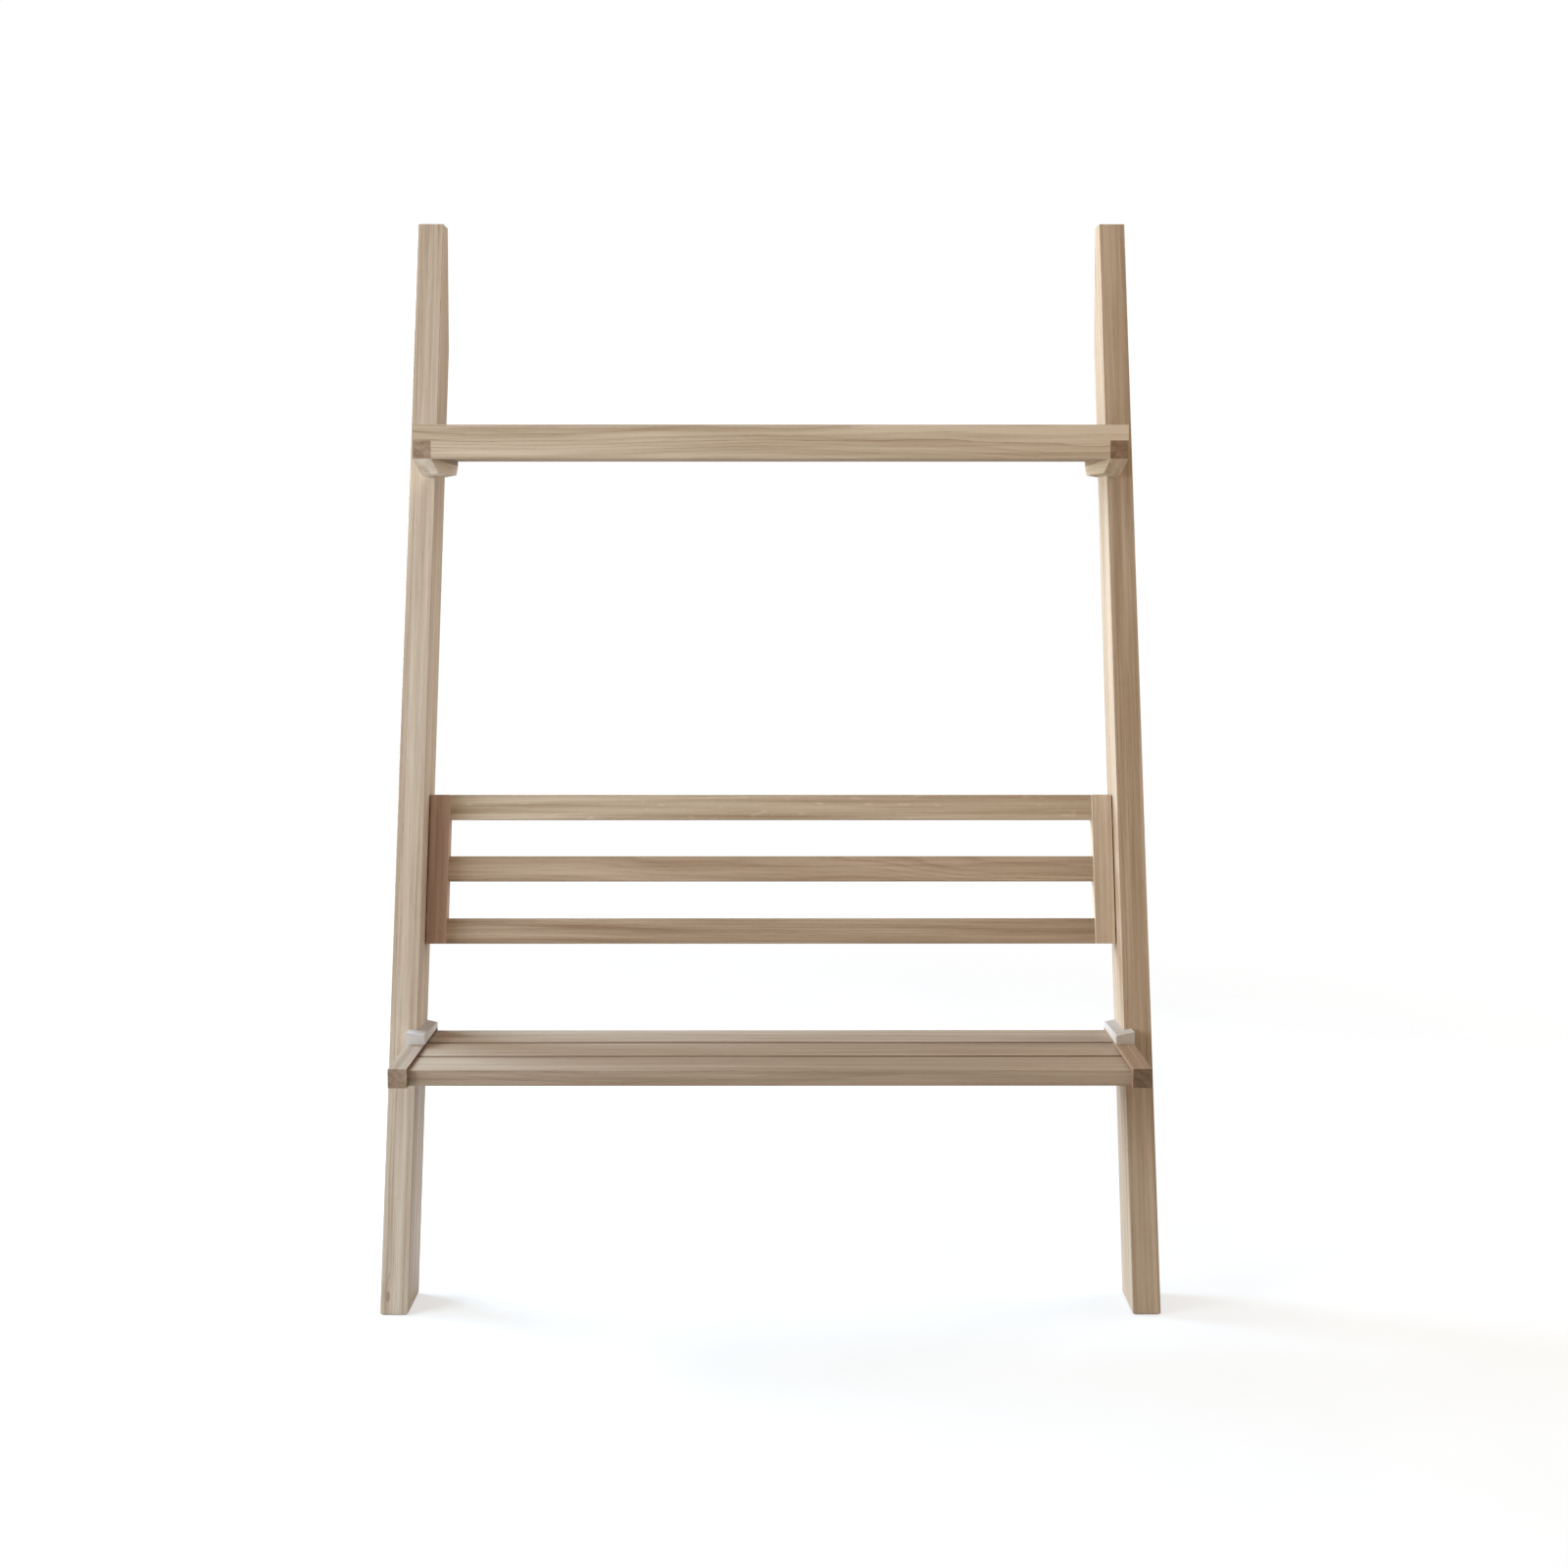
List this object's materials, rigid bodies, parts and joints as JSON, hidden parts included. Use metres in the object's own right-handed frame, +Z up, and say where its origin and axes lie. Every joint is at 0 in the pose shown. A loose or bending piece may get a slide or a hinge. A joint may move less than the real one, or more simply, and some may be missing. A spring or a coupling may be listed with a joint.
{
  "type": "ladder shelf",
  "caption": "Leaning ladder shelf: sloping posts hold a slatted bench seat, an open railed backrest and a high shelf with a raised front board.",
  "frame": {"origin": "on the floor, midway between the posts and midway through the whole depth from the seat's front edge to the wall", "axes": "+Z up, +X to the right of a person facing the seat, -Y out of the front, so the wall is on the +Y side"},
  "size_m": [1.25, 0.525, 1.8],
  "materials": {
    "oak_posts": "matt oiled light oak, grain along the post",
    "oak_rails": "matt oiled light oak, grain along the rail",
    "oak_boards": "matt oiled light oak, grain along the board",
    "oak_blocks": "matt oiled light oak",
    "white_blocks": "matt white lacquered wood",
    "beech_dowels": "plain beech dowel",
    "zinc_steel": "zinc-plated steel",
    "felt_pads": "dark pressed felt",
    "nylon_spacers": "black nylon"
  },
  "bodies": {
    "root": {"upright_left": "oak_posts", "upright_right": "oak_posts", "foot_pad_left": "felt_pads", "foot_pad_right": "felt_pads", "wall_pad_left": "felt_pads", "wall_pad_right": "felt_pads", "seat_side_rail_left": "oak_rails", "seat_side_rail_right": "oak_rails", "seat_slat_front": "oak_boards", "seat_slat_middle": "oak_boards", "seat_slat_rear": "oak_boards", "seat_grip_block_left": "white_blocks", "seat_grip_block_right": "white_blocks", "shelf_side_rail_left": "oak_rails", "shelf_side_rail_right": "oak_rails", "shelf_front_board": "oak_boards", "shelf_slat_front": "oak_boards", "shelf_slat_middle": "oak_boards", "shelf_slat_rear": "oak_boards", "shelf_grip_block_left": "oak_blocks", "shelf_grip_block_right": "oak_blocks", "backrest_stile_left": "oak_posts", "backrest_stile_right": "oak_posts", "backrest_rail_bottom": "oak_boards", "backrest_rail_middle": "oak_boards", "backrest_rail_top": "oak_boards", "seat_slat_dowels": "beech_dowels", "shelf_slat_dowels": "beech_dowels", "shelf_board_dowels": "beech_dowels", "backrest_dowels": "beech_dowels", "seat_block_pegs": "beech_dowels", "shelf_block_pegs": "beech_dowels", "shelf_board_pegs": "beech_dowels", "seat_bolts": "zinc_steel", "shelf_bolts": "zinc_steel", "backrest_bolts": "zinc_steel", "seat_inserts": "zinc_steel", "shelf_inserts": "zinc_steel", "backrest_inserts": "zinc_steel", "backrest_spacers": "nylon_spacers"}
  },
  "joints": []
}
